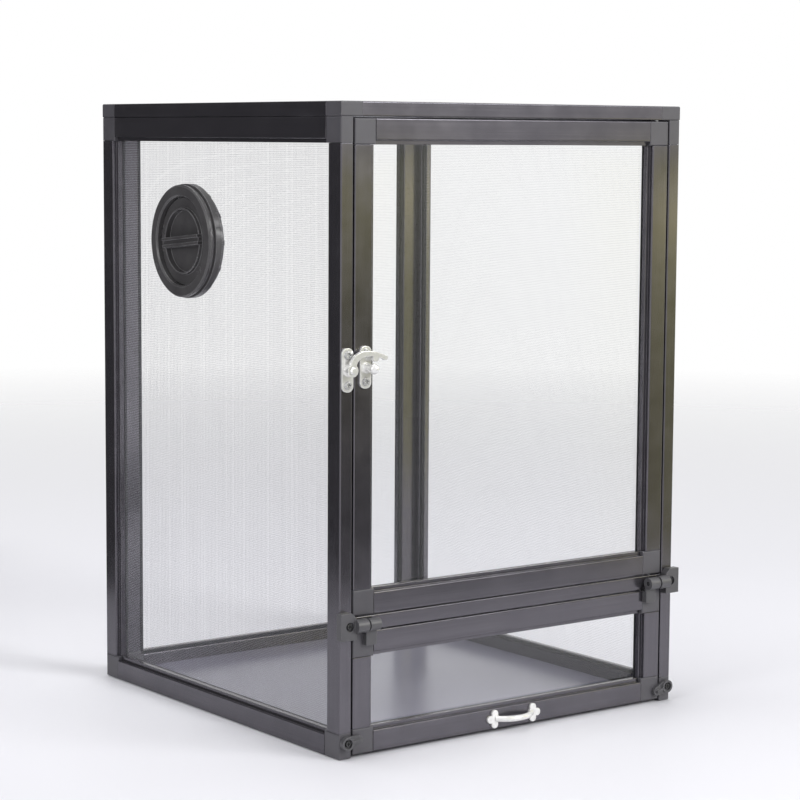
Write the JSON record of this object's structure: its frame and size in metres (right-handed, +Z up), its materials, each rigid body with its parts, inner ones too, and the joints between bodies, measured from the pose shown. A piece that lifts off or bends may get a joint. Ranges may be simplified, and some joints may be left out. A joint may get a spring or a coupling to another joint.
{
  "type": "reptile cage",
  "caption": "Mesh reptile cage in a dark screen frame, with a hinged front door, a lift-up lower door and a round feeding port.",
  "frame": {"origin": "under the middle of the whole outline, on the table", "axes": "+Z up, -Y out of the front doors, -X out of the feeding port's side"},
  "size_m": [0.3362, 0.3512, 0.48],
  "materials": {
    "frame": "dark satin",
    "connector": "satin",
    "mesh": "satin",
    "spline": "matte",
    "pane": "clear",
    "board": "semi-gloss",
    "bright_metal": "bright",
    "steel": "satin",
    "dark_plastic": "satin"
  },
  "bodies": {
    "cage": {"left_panel_stiles": "frame", "left_panel_rails": "frame", "left_panel_corners": "connector", "left_panel_screen": "mesh", "left_panel_spline": "spline", "right_panel_stiles": "frame", "right_panel_rails": "frame", "right_panel_corners": "connector", "right_panel_screen": "mesh", "right_panel_spline": "spline", "back_panel_stiles": "frame", "back_panel_rails": "frame", "back_panel_corners": "connector", "back_panel_screen": "mesh", "back_panel_spline": "spline", "top_panel_stiles": "frame", "top_panel_rails": "frame", "top_panel_corners": "connector", "top_panel_screen": "mesh", "top_panel_spline": "spline", "top_panel_screws": "steel", "panel_dowels": "steel", "mid_rail": "frame", "mid_rail_plugs": "connector", "base_board": "board", "base_ledges": "connector", "upper_door_pivots": "steel", "hinge_brackets": "dark_plastic", "hinge_bracket_screws": "steel", "hinge_pins": "steel", "latch_base": "bright_metal", "latch_base_screws": "steel", "latch_rivet": "bright_metal", "turn_button_screws": "steel", "port_flange": "dark_plastic", "port_lock_ring": "dark_plastic"},
    "upper_door": {"upper_door_stiles": "frame", "upper_door_rails": "frame", "upper_door_corners": "connector", "upper_door_pane": "pane", "upper_door_bead": "spline", "latch_strike": "bright_metal", "latch_strike_screws": "steel"},
    "lower_door": {"lower_door_stiles": "frame", "lower_door_rails": "frame", "lower_door_corners": "connector", "lower_door_pane": "pane", "lower_door_bead": "spline", "hinge_leaves": "dark_plastic", "hinge_leaf_screws": "steel", "pull_handle": "bright_metal", "pull_handle_screws": "steel"},
    "latch_arm": {"latch_arm": "bright_metal"},
    "left_button": {"left_turn_button": "dark_plastic"},
    "right_button": {"right_turn_button": "dark_plastic"},
    "port_slider": {"port_seal": "spline"},
    "port_cap": {"port_cap": "dark_plastic"}
  },
  "joints": [
    {"name": "upper_door_hinge", "type": "hinge", "parent": "cage", "child": "upper_door", "pos_m": [0.14395, -0.1607, 0.287], "axis": [0, 0, 1], "range_deg": [0, 110]},
    {"name": "lower_door_hinge", "type": "hinge", "parent": "cage", "child": "lower_door", "pos_m": [0.00065, -0.1704, 0.0995], "axis": [-1, 0, 0], "range_deg": [0, 90]},
    {"name": "latch_pivot", "type": "hinge", "parent": "cage", "child": "latch_arm", "pos_m": [-0.15785, -0.1699, 0.287], "axis": [0, -1, 0], "range_deg": [0, 75]},
    {"name": "left_button_turn", "type": "hinge", "parent": "cage", "child": "left_button", "pos_m": [-0.15885, -0.1662, 0.012], "axis": [0, -1, 0], "range_deg": [-28, 172]},
    {"name": "right_button_turn", "type": "hinge", "parent": "cage", "child": "right_button", "pos_m": [0.16015, -0.1662, 0.012], "axis": [0, 1, 0], "range_deg": [-5, 197]},
    {"name": "port_cap_lift", "type": "slide", "parent": "cage", "child": "port_slider", "axis": [-1, 0, 0], "range_m": [0, 0.008]},
    {"name": "port_cap_turn", "type": "hinge", "parent": "port_slider", "child": "port_cap", "pos_m": [-0.15935, 0.0496, 0.372], "axis": [-1, 0, 0], "range_deg": [0, 300]}
  ],
  "couplings": [
    {"joint": "port_cap_lift", "follows": "port_cap_turn", "m_per_rad": 0.001527}
  ]
}
